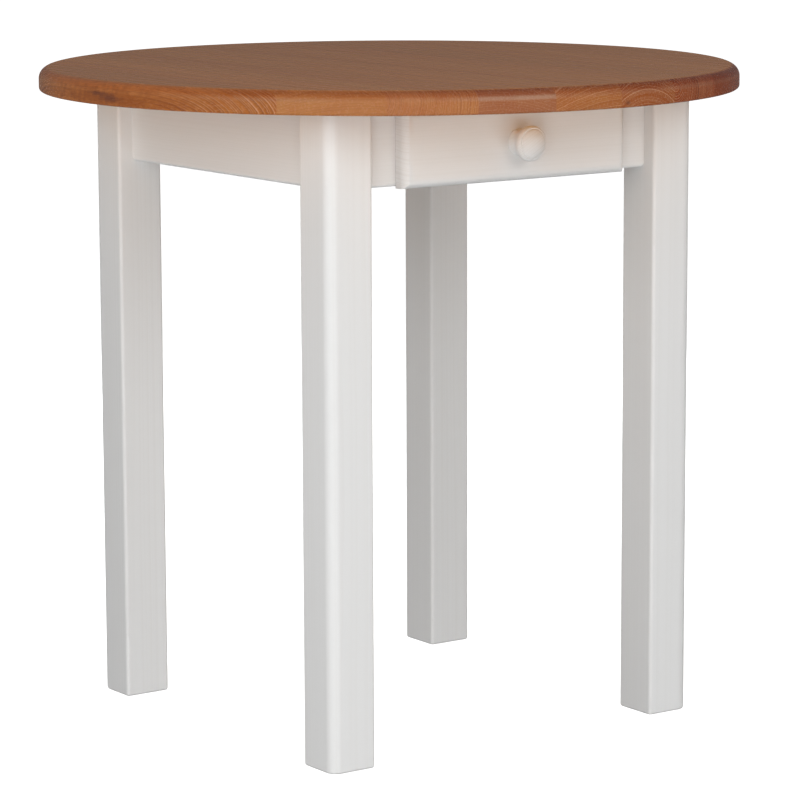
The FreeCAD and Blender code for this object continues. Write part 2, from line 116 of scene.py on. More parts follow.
class Recipe:
    """The node tree of a material or of the room, filled one node at a time."""

    def __init__(self, owner: Material | World) -> None:
        """Starts with an empty tree.

        Args:
            owner: the material or the room that the nodes belong to.
        """
        self.owner = owner
        self.owner.use_nodes = True
        self.tree = owner.node_tree
        self.tree.nodes.clear()

    @classmethod
    def material(cls, name: str) -> "Recipe":
        """Starts a new material."""
        return cls(bpy.data.materials.new(name))

    def node(self, kind: str, inputs: dict[str | int, Value], **settings: str) -> Node:
        """Adds a node.

        Args:
            kind: the node's type, without the prefix that all shader nodes share.
            inputs: sockets to join, or values to set, by input name or number.
            settings: the node's own properties.

        Returns:
            The new node.
        """
        made = self.tree.nodes.new("ShaderNode" + kind)
        for key, setting in settings.items():
            setattr(made, key, setting)
        for key, value in inputs.items():
            if isinstance(value, NodeSocket):
                self.tree.links.new(value, made.inputs[key])
            else:
                made.inputs[key].default_value = value
        return made

    def math(self, operation: str, first: Value, second: Value = 0.0) -> NodeSocket:
        """One step of arithmetic on numbers."""
        return self.node("Math", {0: first, 1: second}, operation=operation).outputs[0]

    def vector(self, operation: str, first: Value, second: Value = (0.0, 0.0, 0.0)) -> Node:
        """One step of arithmetic on vectors."""
        return self.node("VectorMath", {0: first, 1: second}, operation=operation)

    def span(self, value: Value, low: float, high: float, start: float, end: float) -> NodeSocket:
        """Carries a number from one range to another, with a smooth ease at both ends.

        Args:
            value: the number.
            low: start of the range that it comes from.
            high: end of that range.
            start: what low becomes.
            end: what high becomes.

        Returns:
            The number in its new range.
        """
        inputs = {"Value": value, "From Min": low, "From Max": high, "To Min": start, "To Max": end}
        return self.node("MapRange", inputs, interpolation_type="SMOOTHSTEP").outputs[0]

    def linear(self, value: Value, start: float, end: float) -> NodeSocket:
        """Spreads a number between 0 and 1 over another range."""
        return self.node("MapRange", {"Value": value, "To Min": start, "To Max": end}).outputs[0]

    def mix(self, share: Value, first: Value, second: Value, blend: str = "MIX") -> NodeSocket:
        """Mixes two colours by a share, through the node's own sockets for colours."""
        inputs = {0: share, 6: first, 7: second}
        return self.node("Mix", inputs, data_type="RGBA", blend_type=blend).outputs[2]

    def shade(self, tone: NodeSocket, factor: Value) -> NodeSocket:
        """Multiplies a colour by another, or by a number."""
        return self.mix(1.0, tone, factor, "MULTIPLY")

    def noise(self, place: NodeSocket, clouds: Triple, detail: float = 2.0) -> NodeSocket:
        """Cloudy values from 0 to 1.

        Args:
            place: where the pattern is read.
            clouds: how many clouds there are to the metre along each axis.
            detail: how many finer layers are laid over the first.

        Returns:
            The value.
        """
        scaled = self.node("Mapping", {"Vector": place, "Scale": clouds}).outputs[0]
        return self.node("TexNoise", {"Vector": scaled, "Scale": 1.0, "Detail": detail}).outputs[0]

    def ramp(self, value: NodeSocket, stops: Stops) -> NodeSocket:
        """A grey ramp.

        Args:
            value: the number that is looked up in it.
            stops: place and brightness of each stop, in rising order.

        Returns:
            The brightness.
        """
        made = self.node("ValToRGB", {0: value})
        elements = made.color_ramp.elements
        while len(elements) < len(stops):
            elements.new(1.0)
        for element, (place, grey) in zip(elements, stops):
            element.position = place
            element.color = (grey, grey, grey, 1.0)
        return made.outputs[0]

    def bump(self, height: NodeSocket, depth: float, strength: float) -> NodeSocket:
        """A normal that follows a height pattern of so many metres."""
        inputs = {"Height": height, "Distance": depth, "Strength": strength}
        return self.node("Bump", inputs).outputs[0]

    def close(self, surface: dict[str | int, Value]) -> Material:
        """Ends the recipe in a surface shader.

        Args:
            surface: the shader's sockets.

        Returns:
            The finished material.
        """
        shader = self.node("BsdfPrincipled", surface)
        self.node("OutputMaterial", {"Surface": shader.outputs[0]})
        return self.owner


@dataclass(frozen=True)
class WoodField:
    """Sockets of a wood pattern: its place, late wood, the pale line after it, fibres and bands.

    Ends tells end grain from the face. Rounds is the part that turns from upright to level, and the painted
    sheen band the outer part of that, where a paler colour is painted in place of a lamp's reflection.
    """

    place: NodeSocket
    rings: NodeSocket
    pauses: NodeSocket
    fibres: NodeSocket
    bands: NodeSocket
    ends: NodeSocket
    rounds: NodeSocket
    crests: NodeSocket


@dataclass(frozen=True)
class Timber:
    """How a piece was sawn from its trunk, in metres, and how the trunk grew.

    Clouds are counted to the metre across, along and across the trunk. Stops run through one year from
    spring to winter, or from upright to level.
    """

    grain: Grain
    pith: Triple
    ring: float
    wander: float = 2.0 * MM
    ripple: float = 0.45 * MM
    wander_clouds: Triple = (14.0, 1.7, 14.0)
    ripple_clouds: Triple = (120.0, 7.0, 120.0)
    fibre_clouds: Triple = (520.0, 8.0, 520.0)
    fibre_detail: float = 3.0
    band_clouds: Triple = (60.0, 1.4, 60.0)
    weather_scale: float = 0.45
    weather_years: float = 0.9
    late_wood: Stops = ((0.0, 0.0), (0.35, 0.08), (0.68, 1.0), (0.8, 1.0), (0.9, 0.0))
    pale_line: Stops = ((0.0, 0.7), (0.12, 0.0), (0.8, 0.0), (0.92, 1.0), (1.0, 0.7))
    late_harvest: Pair = (0.35, 1.0)
    pale_harvest: Pair = (1.0, 0.4)
    end_facing: Pair = (0.08, 0.45)
    round_part: Stops = ((0.1, 0.0), (0.6, 1.0), (0.93, 1.0), (0.99, 0.0))
    # Where the painted sheen lies on the round, by how far its surface looks up.
    crest_part: Stops = ((0.04, 0.0), (0.2, 1.0), (0.34, 1.0), (0.55, 0.0))

    def lay(self, recipe: Recipe) -> WoodField:
        """Lays rings and fibres through the piece.

        Args:
            recipe: the material that takes the nodes.

        Returns:
            The pattern's sockets.
        """
        place = recipe.node("TexCoord", {}).outputs["Object"]
        turn = self.grain.turn
        shift = -(turn.to_matrix() @ Vector(self.pith))
        inputs = {"Vector": place, "Rotation": tuple(turn), "Location": tuple(shift)}
        trunk = recipe.node("Mapping", inputs).outputs[0]
        rings, pauses = self.grow(recipe, trunk)
        normal = recipe.node("NewGeometry", {}).outputs["Normal"]
        facing = recipe.vector("DOT_PRODUCT", normal, tuple(self.grain.axis)).outputs["Value"]
        upward = recipe.vector("DOT_PRODUCT", normal, (0.0, 0.0, 1.0)).outputs["Value"]
        return WoodField(
            place=place,
            rings=rings,
            pauses=pauses,
            fibres=recipe.noise(trunk, self.fibre_clouds, self.fibre_detail),
            bands=recipe.noise(trunk, self.band_clouds),
            ends=recipe.span(recipe.math("ABSOLUTE", facing), *self.end_facing, 0.0, 1.0),
            rounds=recipe.ramp(upward, self.round_part),
            crests=recipe.ramp(upward, self.crest_part),
        )

    def grow(self, recipe: Recipe, trunk: NodeSocket) -> tuple[NodeSocket, NodeSocket]:
        """Grows the year rings round the pith.

        Args:
            recipe: the material that takes the nodes.
            trunk: place in the trunk, with the pith along Y.

        Returns:
            The late wood, and the pale line after it.
        """
        across = recipe.vector("MULTIPLY", trunk, (1.0, 0.0, 1.0)).outputs[0]
        radius = recipe.vector("LENGTH", across).outputs["Value"]
        wander = recipe.linear(recipe.noise(trunk, self.wander_clouds), -self.wander, self.wander)
        ripple = recipe.linear(recipe.noise(trunk, self.ripple_clouds), -self.ripple, self.ripple)
        grown = recipe.math("ADD", radius, recipe.math("ADD", wander, ripple))
        even = recipe.math("DIVIDE", grown, self.ring)
        climate = {"W": even, "Scale": self.weather_scale, "Detail": 1.0}
        weather = recipe.node("TexNoise", climate, noise_dimensions="1D").outputs[0]
        drift = recipe.linear(weather, -self.weather_years, self.weather_years)
        years = recipe.math("ADD", even, drift)
        season = recipe.math("FRACT", years)
        year = recipe.math("FLOOR", years)
        harvest = recipe.node("TexWhiteNoise", {"W": year}, noise_dimensions="1D").outputs["Value"]
        late, pale = recipe.ramp(season, self.late_wood), recipe.ramp(season, self.pale_line)
        return (
            recipe.math("MULTIPLY", late, recipe.linear(harvest, *self.late_harvest)),
            recipe.math("MULTIPLY", pale, recipe.linear(harvest, *self.pale_harvest)),
        )


@dataclass(frozen=True)
class Knot:
    """A knot, bruise or dark patch: its middle and half sizes in metres, its colour, and how much shows."""

    middle: Triple
    reach: Triple
    colour: Colour = (0.15, 0.052, 0.030)
    share: float = 0.75
    ragged_clouds: Triple = (160.0, 160.0, 160.0)
    fade: Pair = (0.6, 1.7)

    def stain(self, recipe: Recipe, place: NodeSocket, tone: NodeSocket) -> NodeSocket:
        """Darkens a colour around the knot.

        Args:
            recipe: the material that takes the nodes.
            place: the piece's own coordinates.
            tone: the colour before.

        Returns:
            The colour after.
        """
        away = recipe.vector("SUBTRACT", place, self.middle).outputs[0]
        reaches = recipe.vector("DIVIDE", away, self.reach).outputs[0]
        ragged = recipe.noise(place, self.ragged_clouds)
        length = recipe.math("ADD", recipe.vector("LENGTH", reaches).outputs["Value"], ragged)
        mask = recipe.span(length, *self.fade, self.share, 0.0)
        return recipe.mix(mask, tone, (*self.colour, 1.0))


@dataclass(frozen=True)
class StainedFinish:
    """Stained pine under a satin coat.

    Lines are given as shares on the face and on end grain, roughness as its least and most, and relief
    as the pattern's depth in metres and its strength.
    """

    name: str
    timber: Timber
    early: Colour
    ends_tint: Colour
    dark_lines: Pair
    pale_lines: Pair
    # How strong the painted sheen is: a paler band on the rim's round in place of a lamp's reflection.
    painted_sheen: float
    knots: tuple[Knot, ...]
    late: Colour = (0.17, 0.040, 0.012)
    pale: Colour = (0.66, 0.36, 0.20)
    # Painted shade: the round that turns from upright to level is darkened by this, as though less light
    # fell on it.
    rounds_tint: Colour = (0.86, 0.72, 0.72)
    # The painted sheen's colour, and the spread of its strength along the rim.
    worn_tone: Colour = (0.55, 0.36, 0.24)
    worn_spread: Pair = (0.4, 1.6)
    streak: float = 0.05
    rich: Colour = (0.9, 0.77, 0.72)
    lean: Colour = (1.1, 1.23, 1.28)
    roughness: Pair = (0.24, 0.30)
    specular: float = 0.45
    ring_height: float = 0.5
    relief: Pair = (0.2 * MM, 0.12)

    def build(self) -> Material:
        """Makes the material.

        Returns:
            The material.
        """
        recipe = Recipe.material(self.name)
        wood = self.timber.lay(recipe)
        height = recipe.math("SUBTRACT", wood.fibres, recipe.math("MULTIPLY", wood.rings, self.ring_height))
        return recipe.close({
            "Base Color": self.tone(recipe, wood),
            "Roughness": recipe.linear(wood.fibres, *self.roughness),
            "Specular IOR Level": self.specular,
            "Normal": recipe.bump(height, *self.relief),
        })

    def tone(self, recipe: Recipe, wood: WoodField) -> NodeSocket:
        """Stains the wood, with its streaks, painted shade and a painted sheen on the rim's round, and
        knots.

        Args:
            recipe: the material that takes the nodes.
            wood: the pattern that takes the stain.

        Returns:
            The colour.
        """
        dark = recipe.math("MULTIPLY", wood.rings, recipe.linear(wood.ends, *self.dark_lines))
        pale = recipe.math("MULTIPLY", wood.pauses, recipe.linear(wood.ends, *self.pale_lines))
        sawn = tuple(early * tint for early, tint in zip(self.early, self.ends_tint))
        tone = recipe.mix(wood.ends, (*self.early, 1.0), (*sawn, 1.0))
        tone = recipe.mix(dark, tone, (*self.late, 1.0))
        tone = recipe.mix(pale, tone, (*self.pale, 1.0))
        tone = recipe.shade(tone, recipe.linear(wood.fibres, 1.0 - self.streak, 1.0 + self.streak))
        tone = recipe.shade(tone, recipe.mix(wood.bands, (*self.rich, 1.0), (*self.lean, 1.0)))
        # Painted shade on the round, darker than the upright rim.
        tone = recipe.mix(wood.rounds, tone, recipe.shade(tone, (*self.rounds_tint, 1.0)))
        # Painted sheen: a paler band on the outer part of the round, in place of a lamp's reflection.
        least, most = (share * self.painted_sheen for share in self.worn_spread)
        painted_sheen_mask = recipe.math("MULTIPLY", wood.crests, recipe.linear(wood.bands, least, most))
        tone = recipe.mix(painted_sheen_mask, tone, (*self.worn_tone, 1.0))
        for knot in self.knots:
            tone = knot.stain(recipe, wood.place, tone)
        return tone


@dataclass(frozen=True)
class LacquerFinish:
    """White lacquer, thin enough to show the grain faintly.

    Thin is where the wood shows through: more at the lines, and in clouds.
    """

    name: str
    timber: Timber
    roughness: Pair = (0.48, 0.60)
    paint: Colour = (0.80, 0.80, 0.795)
    thin: Colour = (0.70, 0.685, 0.66)
    line_share: Pair = (0.16, 0.6)
    cloud_share: Pair = (-0.12, 0.2)
    peel_clouds: Triple = (420.0, 420.0, 420.0)
    peel_height: float = 0.5
    specular: float = 0.2
    relief: Pair = (0.15 * MM, 0.3)

    def build(self) -> Material:
        """Makes the material.

        Returns:
            The material.
        """
        recipe = Recipe.material(self.name)
        wood = self.timber.lay(recipe)
        lines = recipe.math("MULTIPLY", wood.rings, recipe.linear(wood.ends, *self.line_share))
        share = recipe.math("ADD", lines, recipe.linear(wood.bands, *self.cloud_share))
        peel = recipe.noise(wood.place, self.peel_clouds)
        height = recipe.math("SUBTRACT", wood.fibres, lines)
        height = recipe.math("ADD", height, recipe.math("MULTIPLY", peel, self.peel_height))
        return recipe.close({
            "Base Color": recipe.mix(share, (*self.paint, 1.0), (*self.thin, 1.0)),
            "Roughness": recipe.linear(peel, *self.roughness),
            "Specular IOR Level": self.specular,
            "Normal": recipe.bump(height, *self.relief),
        })


@dataclass(frozen=True)
class BareFinish:
    """Planed wood with no finish."""

    name: str
    timber: Timber
    early: Colour = (0.72, 0.50, 0.29)
    late: Colour = (0.46, 0.24, 0.10)
    line_share: float = 0.6
    streak: float = 0.14
    roughness: Pair = (0.56, 0.72)
    ring_height: float = 0.6
    relief: Pair = (0.25 * MM, 0.4)

    def build(self) -> Material:
        """Makes the material.

        Returns:
            The material.
        """
        recipe = Recipe.material(self.name)
        wood = self.timber.lay(recipe)
        lines = recipe.math("MULTIPLY", wood.rings, self.line_share)
        tone = recipe.mix(lines, (*self.early, 1.0), (*self.late, 1.0))
        tone = recipe.shade(tone, recipe.linear(wood.fibres, 1.0 - self.streak, 1.0 + self.streak))
        height = recipe.math("SUBTRACT", wood.fibres, recipe.math("MULTIPLY", wood.rings, self.ring_height))
        return recipe.close({
            "Base Color": tone,
            "Roughness": recipe.linear(wood.fibres, *self.roughness),
            "Normal": recipe.bump(height, *self.relief),
        })


@dataclass(frozen=True)
class SteelFinish:
    """Zinc-plated steel with fine scratches."""

    name: str
    bright: Colour = (0.60, 0.60, 0.57)
    dull: Colour = (0.38, 0.37, 0.34)
    dull_clouds: Triple = (700.0, 700.0, 700.0)
    dull_detail: float = 4.0
    scratch_clouds: Triple = (4000.0, 300.0, 900.0)
    roughness: Pair = (0.22, 0.44)
    relief: Pair = (0.05 * MM, 0.3)

    def build(self) -> Material:
        """Makes the material.

        Returns:
            The material.
        """
        recipe = Recipe.material(self.name)
        place = recipe.node("TexCoord", {}).outputs["Object"]
        cloud = recipe.noise(place, self.dull_clouds, self.dull_detail)
        scratch = recipe.noise(place, self.scratch_clouds)
        return recipe.close({
            "Base Color": recipe.mix(cloud, (*self.bright, 1.0), (*self.dull, 1.0)),
            "Metallic": 1.0,
            "Roughness": recipe.linear(scratch, *self.roughness),
            "Normal": recipe.bump(scratch, *self.relief),
        })


def block(low: Vector, high: Vector) -> BMesh:
    """A plain block, ready for its edges to be worked.

    Args:
        low: its lowest corner.
        high: its highest corner.

    Returns:
        The mesh.
    """
    bm = bmesh.new()
    bmesh.ops.create_cube(bm, size=1.0)
    bmesh.ops.scale(bm, vec=high - low, verts=bm.verts)
    bmesh.ops.translate(bm, vec=(low + high) / 2, verts=bm.verts)
    return bm


def along(edge: BMEdge) -> Vector:
    """An edge's direction, with no sign."""
    run = (edge.verts[1].co - edge.verts[0].co).normalized()
    return Vector(map(abs, run))


def middle(edge: BMEdge) -> Vector:
    """An edge's middle."""
    return (edge.verts[0].co + edge.verts[1].co) / 2


def centre(node: str) -> Vector:
    """The middle of a solid's box."""
    low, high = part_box(node)
    return (low + high) / 2


def round_over(bm: BMesh, edges: Iterable[BMEdge], radius: float, steps: int) -> None:
    """Rounds edges over.

    Args:
        bm: the mesh that they belong to.
        edges: the edges.
        radius: the round's radius.
        steps: how many faces make the round.
    """
    bmesh.ops.bevel(
        bm,
        geom=list(edges),
        offset=radius,
        offset_type="OFFSET",
        segments=steps,
        profile=0.5,
        affect="EDGES",
        material=-1,
        clamp_overlap=True,
    )


def publish(name: str, bm: BMesh, finish: Material, slot: Slot, body: Body, *nodes: str) -> None:
    """Turns a mesh into a piece of the table.

    Args:
        name: the piece's name.
        bm: its mesh, in place, which is freed.
        finish: its material.
        slot: the record's slot that the finish belongs to; not used.
        body: the body that it rides on.
        nodes: the nodes that it stands for.
    """
    bmesh.ops.recalc_face_normals(bm, faces=bm.faces)
    mesh = bpy.data.meshes.new(name)
    bm.to_mesh(mesh)
    bm.free()
    mesh.shade_smooth()
    mesh.set_sharp_from_angle(angle=SHARP_ANGLE)
    mesh.materials.append(finish)
    piece = bpy.data.objects.new(name, mesh)
    bpy.context.scene.collection.objects.link(piece)
    even = piece.modifiers.new("even_shading", "WEIGHTED_NORMAL")
    even.keep_sharp = True
    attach(piece, body.value)
    if nodes:
        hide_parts(*nodes)
    log.info("%s: %d faces on %s", name, len(mesh.polygons), body.value)


def dress(node: str, finish: Material) -> None:
    """Gives a solid of the table its finish.

    Args:
        node: the solid's node.
        finish: its material.
    """
    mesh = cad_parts[node].data
    mesh.materials.clear()
    mesh.materials.append(finish)
    log.info("%s: dressed in %s", node, finish.name)


@dataclass(frozen=True)
class Board:
    """One board of the top: where its trunk's middle was, and how its stain took.

    Dark and pale are the shares of the two kinds of ring lines on end grain, tint is the stain's strength,
    ends its tint on end grain, and the painted sheen the strength of the paler band that stands in for a
    reflection on the rim.
    """

    pith_x: float
    pith_z: float
    ring: float
    dark: float
    pale: float
    tint: float
    ends: Colour
    painted_sheen: float = 0.06
    knots: tuple[Knot, ...] = ()


@dataclass
class Tabletop:
    """The round top, sawn from ten glued boards, which are listed from -X to +X.

    The lines on a board's face are weaker than on its ends: dark ones by a least share and a gain, and
    pale ones by a gain alone.
    """

    upper_round: float = 13 * MM
    upper_steps: int = 12
    lower_round: float = 3 * MM
    lower_steps: int = 4
    rim_steps: int = 288
    stain: Colour = (0.71, 0.26, 0.066)
    face_dark: Pair = (0.15, 0.22)
    face_pale: float = 0.15
    boards: tuple[Board, ...] = (
        Board(
            -0.398, 0.697, 2.2 * MM, 0.8, 0.75, 0.95, (0.60, 0.52, 0.405),
            knots=(
                Knot((-0.400, -0.050, 0.7300), (0.052, 0.240, 0.0180), (0.26, 0.069, 0.018), 0.85),
                Knot((-0.3995, -0.0230, 0.7350), (0.012, 0.026, 0.0032)),
                Knot((-0.3985, -0.0430, 0.7307), (0.012, 0.026, 0.0058)),
            ),
        ),
        Board(-0.250, 0.560, 3.4 * MM, 0.25, 0.1, 1.04, (0.60, 0.625, 0.73)),
        Board(-0.262, 0.741, 1.7 * MM, 0.5, 0.4, 1.0, (0.60, 0.59, 0.75), 0.09),
        Board(-0.130, 0.570, 3.2 * MM, 0.25, 0.2, 1.02, (0.48, 0.47, 0.78), 0.34),
        Board(0.020, 0.540, 2.2 * MM, 0.3, 0.7, 0.98, (0.565, 0.515, 0.56)),
        Board(
            0.059, 0.671, 2.0 * MM, 0.2, 1.0, 1.0, (0.46, 0.34, 0.35), 0.09,
            knots=(Knot((0.0302, -0.3989, 0.7274), (0.0042, 0.008, 0.0030), share=0.9),),
        ),
        Board(0.108, 0.739, 2.5 * MM, 1.0, 0.9, 0.97, (0.465, 0.25, 0.19), 0.09),
        Board(0.245, 0.610, 3.0 * MM, 0.2, 0.1, 0.97, (0.38, 0.19, 0.10), 0.09),
        Board(0.280, 0.680, 2.6 * MM, 0.2, 0.1, 0.95, (0.38, 0.19, 0.10)),
        Board(0.330, 0.640, 2.8 * MM, 0.2, 0.1, 0.96, (0.38, 0.19, 0.10)),
    )

    def build(self) -> None:
        """Builds and dresses the boards."""
        nodes = [f"top_board_{number}" for number in range(1, len(self.boards) + 1)]
        boxes = [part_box(node) for node in nodes]
        low = Vector(map(min, *(box[0] for box in boxes)))
        high = Vector(map(max, *(box[1] for box in boxes)))
        whole = self.disc(low, high)
        for node, (start, end), board in zip(nodes, boxes, self.boards):
            bm = whole.copy()
            if start.x > low.x + MM:
                self.saw(bm, start.x, 1)
            if end.x < high.x - MM:
                self.saw(bm, end.x, -1)
            publish(f"stained_{node}", bm, self.finish(node, board), Slot.STAINED, Body.FRAME, node)
        whole.free()

    def disc(self, low: Vector, high: Vector) -> BMesh:
        """The whole top before it is sawn.

        Args:
            low: the top's lowest corner.
            high: its highest corner.

        Returns:
            The mesh, with both rims rounded.
        """
        bm = bmesh.new()
        radius, thick = (high.x - low.x) / 2, high.z - low.z
        bmesh.ops.create_cone(
            bm, cap_ends=True, segments=self.rim_steps, radius1=radius, radius2=radius, depth=thick
        )
        bmesh.ops.translate(bm, vec=(low + high) / 2, verts=bm.verts)
        half = (low.z + high.z) / 2
        rims = [edge for edge in bm.edges if along(edge).z < STRAIGHT]
        upper = [edge for edge in rims if middle(edge).z > half]
        lower = [edge for edge in rims if middle(edge).z < half]
        round_over(bm, upper, self.upper_round, self.upper_steps)
        round_over(bm, [edge for edge in lower if edge.is_valid], self.lower_round, self.lower_steps)
        return bm

    @staticmethod
    def saw(bm: BMesh, place: float, keep: int) -> None:
        """Saws a mesh across X and closes the cut.

        Args:
            bm: the mesh.
            place: where the cut is.
            keep: 1 to keep the side towards +X, -1 for the other.
        """
        geometry = [*bm.verts, *bm.edges, *bm.faces]
        cut = bmesh.ops.bisect_plane(
            bm, geom=geometry, plane_co=(place, 0, 0), plane_no=(keep, 0, 0), clear_inner=True
        )
        edges = [item for item in cut["geom_cut"] if isinstance(item, BMEdge)]
        bmesh.ops.edgenet_fill(bm, edges=edges)

    def finish(self, node: str, board: Board) -> Material:
        """The stain of one board.

        Args:
            node: the board's node.
            board: how it was sawn.

        Returns:
            The material.
        """
        least, gain = self.face_dark
        return StainedFinish(
            name=f"stain_{node}",
            timber=Timber(Grain.ALONG_Y, (board.pith_x, 0.0, board.pith_z), board.ring),
            early=tuple(channel * board.tint for channel in self.stain),
            ends_tint=board.ends,
            dark_lines=(least + gain * board.dark, board.dark),
            pale_lines=(self.face_pale * board.pale, board.pale),
            painted_sheen=board.painted_sheen,
            knots=board.knots,
        ).build()


@dataclass(frozen=True)
class ScrewHead:
    """A countersunk head with a square socket, flush with the wood.

    The socket's half width is a share of the head's radius, and the head narrows by taper.
    """

    diameter: float = 7.5 * MM
    proud: float = 0.25 * MM
    depth: float = 2.2 * MM
    taper: float = 0.5
    socket_share: float = 0.18
    socket_depth: float = 1.1 * MM

    def add(self, bm: BMesh, place: Vector, normal: Vector) -> None:
        """Adds a head to a mesh.

        Args:
            bm: the mesh that takes it.
            place: the point on the wood's face.
            normal: the way that the face looks.
        """
        head = self.face()
        socket = [face for face in head.faces if not any(vert.is_boundary for vert in face.verts)]
        sunk = bmesh.ops.extrude_face_region(head, geom=socket)
        low = [item for item in sunk["geom"] if isinstance(item, BMVert)]
        bmesh.ops.translate(head, vec=(0, 0, -self.socket_depth), verts=low)
        bmesh.ops.delete(head, geom=socket, context="FACES_ONLY")
        rim = [edge for edge in head.edges if edge.is_boundary]
        skirt = bmesh.ops.extrude_edge_only(head, edges=rim)
        below = [item for item in skirt["geom"] if isinstance(item, BMVert)]
        bmesh.ops.translate(head, vec=(0, 0, -self.depth), verts=below)
        bmesh.ops.scale(head, vec=(self.taper, self.taper, 1), verts=below)
        bmesh.ops.contextual_create(head, geom=[edge for edge in head.edges if edge.is_boundary])
        turn = Vector((0, 0, 1)).rotation_difference(normal).to_matrix().to_4x4()
        bmesh.ops.transform(head, matrix=Matrix.Translation(place) @ turn, verts=head.verts)
        mesh = bpy.data.meshes.new("screw_head")
        head.to_mesh(mesh)
        head.free()
        bm.from_mesh(mesh)
        bpy.data.meshes.remove(mesh)

    def face(self) -> BMesh:
        """The head's round face, with the socket's outline in its middle.

        Returns:
            The mesh.
        """
        head = bmesh.new()
        radius = self.diameter / 2
        half = self.socket_share * radius
        bmesh.ops.create_grid(head, x_segments=4, y_segments=4, size=radius)
        for vert in head.verts:
            if vert.is_boundary:
                vert.co = vert.co.normalized() * radius
            else:
                vert.co = [math.copysign(half, part) if abs(part) > half / 4 else 0.0 for part in vert.co]
        bmesh.ops.translate(head, vec=(0, 0, self.proud), verts=head.verts)
        return head


@dataclass
class TableFrame:
    """Legs, aprons, corner blocks and the strips that carry the drawer.

    A pith is given from the piece's middle, and that of legs and blocks outwards from the table. Screws
    are given as shares of their piece's length.
    """

    steel: Material
    screw: ScrewHead = ScrewHead()
    outer_round: float = 13 * MM
    outer_steps: int = 10
    edge_round: float = 4 * MM
    edge_steps: int = 5
    foot_ease: float = 3.2 * MM
    strip_ease: float = 1.2 * MM
    ease_steps: int = 3
    window_inset: float = 10 * MM
    leg_pith: Pair = (0.021, -0.064)
    leg_ring: float = 2.8 * MM
    apron_pith: Triple = (0.03, 0.03, -0.17)
    apron_ring: float = 3.2 * MM
    apron_wander: float = 4 * MM
    brace_pith: Triple = (0.05, 0.02, -0.05)
    brace_ring: float = 3.4 * MM
    brace_screws: Triple = (-0.45, 0.0, 0.45)
    dowel_pith: Triple = (0.03, 0.03, 0.03)
    dowel_ring: float = 1.6 * MM
    beech_early: Colour = (0.66, 0.43, 0.27)
    beech_late: Colour = (0.52, 0.30, 0.17)
    strip_pith: Triple = (0.028, 0.0, -0.045)
    strip_ring: float = 3.0 * MM
    runner_screws: Triple = (0.15, 0.5, 0.85)

    def build(self) -> None:
        """Builds and dresses the whole frame."""
        for corner in Corner:
            self.leg(corner)
            self.brace(corner)
            self.dowels(corner)
        self.apron("left", Grain.ALONG_Y)
        self.apron("right", Grain.ALONG_Y)
        self.apron("rear", Grain.ALONG_X)
        self.front_apron()
        for hand in ("left", "right"):
            self.strips(hand)

    def leg(self, corner: Corner) -> None:
        """A leg: a large round on its outermost corner, small ones elsewhere, and an eased foot.

        Args:
            corner: where the leg stands.
        """
        node = f"leg_{corner.label}"
        low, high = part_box(node)
        side_x, side_y = corner.value
        bm = block(low, high)
        outward = Vector((side_x, side_y, 0))
        upright = [edge for edge in bm.edges if along(edge).z > STRAIGHT]
        outer = max(upright, key=lambda edge: middle(edge).dot(outward))
        others = [edge for edge in upright if edge is not outer]
        round_over(bm, [outer], self.outer_round, self.outer_steps)
        round_over(bm, others, self.edge_round, self.edge_steps)
        feet = [face for face in bm.faces if face.normal.z < -STRAIGHT]
        round_over(bm, [edge for face in feet for edge in face.edges], self.foot_ease, self.ease_steps)
        out_x, out_y = self.leg_pith
        place = centre(node)
        pith = (place.x + side_x * out_x, place.y + side_y * out_y, 0.0)
        finish = LacquerFinish(f"lacquer_{node}", Timber(Grain.ALONG_Z, pith, self.leg_ring)).build()
        publish(f"lacquered_{node}", bm, finish, Slot.LACQUER, Body.FRAME, node)

    def apron(self, side: str, grain: Grain) -> None:
        """A plain apron.

        Args:
            side: the side of the table that it is on.
            grain: the way that it runs.
        """
        node = f"{side}_apron"
        self.finish_apron(node, block(*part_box(node)), grain)

    def front_apron(self) -> None:
        """The front apron, with the drawer's window sawn out of it."""
        node = "front_apron"
        low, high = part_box(node)
        bm = bmesh.new()
        bmesh.ops.create_grid(bm, x_segments=1, y_segments=1, size=0.5)
        bmesh.ops.transform(bm, matrix=Matrix.Rotation(QUARTER_TURN, 4, "X"), verts=bm.verts)
        bmesh.ops.scale(bm, vec=high - low, verts=bm.verts)
        place = Vector(((low.x + high.x) / 2, low.y, (low.z + high.z) / 2))
        bmesh.ops.translate(bm, vec=place, verts=bm.verts)
        window = list(bm.faces)
        bmesh.ops.inset_region(bm, faces=window, thickness=self.window_inset, use_boundary=True)
        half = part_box("guide_right")[0].x
        sill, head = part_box("runner_right")[1].z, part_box("kicker_right")[0].z
        for vert in window[0].verts:
            vert.co.x = math.copysign(half, vert.co.x)
            vert.co.z = sill if vert.co.z < place.z else head
        bmesh.ops.delete(bm, geom=window, context="FACES_ONLY")
        sides = bmesh.ops.extrude_face_region(bm, geom=list(bm.faces), use_keep_orig=True)
        back = [item for item in sides["geom"] if isinstance(item, BMVert)]
        bmesh.ops.translate(bm, vec=(0, high.y - low.y, 0), verts=back)
        bmesh.ops.recalc_face_normals(bm, faces=bm.faces)
        self.finish_apron(node, bm, Grain.ALONG_X)

    def finish_apron(self, node: str, bm: BMesh, grain: Grain) -> None:
        """Rounds an apron's lower edges and lacquers it, with its pith far below.

        Args:
            node: the apron's node.
            bm: its mesh.
            grain: the way that it runs.
        """
        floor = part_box(node)[0].z + MM
        lower = [
            edge for edge in bm.edges if middle(edge).z < floor and along(edge).dot(grain.axis) > STRAIGHT
        ]
        round_over(bm, lower, self.edge_round, self.edge_steps)
        pith = tuple(centre(node) + Vector(self.apron_pith))
        timber = Timber(grain, pith, self.apron_ring, self.apron_wander)
        finish = LacquerFinish(f"lacquer_{node}", timber).build()
        publish(f"lacquered_{node}", bm, finish, Slot.LACQUER, Body.FRAME, node)

